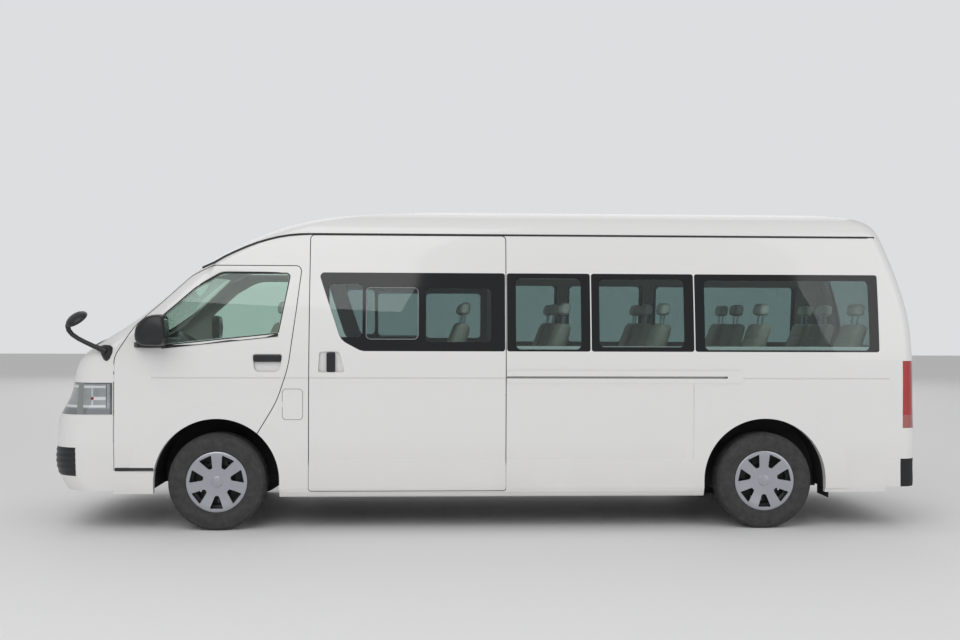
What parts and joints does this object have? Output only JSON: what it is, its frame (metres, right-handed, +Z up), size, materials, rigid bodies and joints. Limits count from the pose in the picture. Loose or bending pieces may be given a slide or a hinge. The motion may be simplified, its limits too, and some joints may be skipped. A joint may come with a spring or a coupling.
{
  "type": "high-roof minibus",
  "caption": "Long high-roof passenger minibus with hinged front doors, sliding side door, top-hinged tailgate and rows of seats.",
  "frame": {"origin": "ground level at the middle of the vehicle's length and width", "axes": "+X towards the tail, +Y towards the vehicle's right side, +Z up; the nose points to -X"},
  "size_m": [6.3309, 2.26, 2.29],
  "materials": {
    "black_plastic": "moulded black plastic",
    "body_paint": "gloss white car paint",
    "cast_steel": "raw cast and forged steel",
    "clear_glass": "green-tinted safety glass",
    "cover_silver": "silver painted plastic",
    "dark_glass": "tinted safety glass",
    "exhaust_steel": "aluminised steel",
    "floor_mat": "ribbed floor covering over painted steel",
    "frame_black": "black chassis paint",
    "grey_plastic": "moulded grey plastic",
    "grille_chrome": "plated bars",
    "headlamp_lens": "clear moulded lens over bright reflectors",
    "rim_steel": "dark painted steel",
    "seat_cloth": "woven seat cloth over foam",
    "tail_lens": "red moulded lens",
    "tyre_rubber": "black rubber"
  },
  "bodies": {
    "root": {"roof": "body_paint", "side_left": "body_paint", "side_right": "body_paint", "side_windows": "dark_glass", "front_panel": "body_paint", "windscreen": "clear_glass", "front_bumper": "body_paint", "rear_bumper": "body_paint", "grille": "grille_chrome", "intake_grille": "black_plastic", "headlamps": "headlamp_lens", "tail_lamps": "tail_lens", "corner_mirror": "black_plastic", "sliding_door": "body_paint", "sliding_door_glass": "dark_glass", "sliding_door_handle": "black_plastic", "floor": "floor_mat", "dashboard": "grey_plastic", "steering_wheel": "black_plastic", "front_seats": "seat_cloth", "passenger_seats": "seat_cloth", "seat_frames": "frame_black", "chassis_frame": "frame_black", "front_suspension": "cast_steel", "rear_axle": "cast_steel", "engine": "cast_steel", "propeller_shaft": "cast_steel", "fuel_tank": "frame_black", "spare_wheel": "tyre_rubber", "exhaust": "exhaust_steel", "mud_flaps": "floor_mat"},
    "front_door_left": {"front_door_left": "body_paint", "front_door_glass_left": "clear_glass", "door_mirror_left": "black_plastic", "front_door_handle_left": "black_plastic"},
    "front_door_right": {"front_door_right": "body_paint", "front_door_glass_right": "clear_glass", "door_mirror_right": "black_plastic", "front_door_handle_right": "black_plastic"},
    "tailgate": {"tailgate": "body_paint", "tailgate_glass": "dark_glass"},
    "fuel_flap": {"fuel_flap": "body_paint"},
    "knuckle_left": {"knuckle_left": "cast_steel"},
    "knuckle_right": {"knuckle_right": "cast_steel"},
    "wheel_front_left": {"tyre_front_left": "tyre_rubber", "rim_front_left": "rim_steel", "wheel_cover_front_left": "cover_silver"},
    "wheel_front_right": {"tyre_front_right": "tyre_rubber", "rim_front_right": "rim_steel", "wheel_cover_front_right": "cover_silver"},
    "wheel_rear_left": {"tyre_rear_left": "tyre_rubber", "rim_rear_left": "rim_steel", "wheel_cover_rear_left": "cover_silver"},
    "wheel_rear_right": {"tyre_rear_right": "tyre_rubber", "rim_rear_right": "rim_steel", "wheel_cover_rear_right": "cover_silver"}
  },
  "joints": [
    {"name": "front_door_left_hinge", "type": "hinge", "parent": "root", "child": "front_door_left", "pos_m": [-2.628, -0.931, 0.9], "axis": [0, 0, -1], "range_deg": [0, 70]},
    {"name": "front_door_right_hinge", "type": "hinge", "parent": "root", "child": "front_door_right", "pos_m": [-2.628, 0.931, 0.9], "axis": [0, 0, 1], "range_deg": [0, 70]},
    {"name": "tailgate_hinge", "type": "hinge", "parent": "root", "child": "tailgate", "pos_m": [2.933, 0, 2.098], "axis": [0, -1, 0], "range_deg": [0, 85]},
    {"name": "fuel_flap_hinge", "type": "hinge", "parent": "root", "child": "fuel_flap", "pos_m": [-1.4565, -0.934, 0.8915], "axis": [0, 0, -1], "range_deg": [0, 100]},
    {"name": "steering_left", "type": "hinge", "parent": "root", "child": "knuckle_left", "pos_m": [-1.915, -0.7325, 0.343], "axis": [0, 0, 1], "range_deg": [-33, 33]},
    {"name": "steering_right", "type": "hinge", "parent": "root", "child": "knuckle_right", "pos_m": [-1.915, 0.7325, 0.343], "axis": [0, 0, 1], "range_deg": [-33, 33]},
    {"name": "spin_front_left", "type": "hinge", "parent": "knuckle_left", "child": "wheel_front_left", "pos_m": [-1.915, -0.8275, 0.343], "axis": [0, 1, 0], "continuous": true},
    {"name": "spin_front_right", "type": "hinge", "parent": "knuckle_right", "child": "wheel_front_right", "pos_m": [-1.915, 0.8275, 0.343], "axis": [0, 1, 0], "continuous": true},
    {"name": "spin_rear_left", "type": "hinge", "parent": "root", "child": "wheel_rear_left", "pos_m": [1.985, -0.8275, 0.343], "axis": [0, 1, 0], "continuous": true},
    {"name": "spin_rear_right", "type": "hinge", "parent": "root", "child": "wheel_rear_right", "pos_m": [1.985, 0.8275, 0.343], "axis": [0, 1, 0], "continuous": true}
  ],
  "couplings": [
    {"joint": "steering_right", "follows": "steering_left", "ratio": 1}
  ]
}
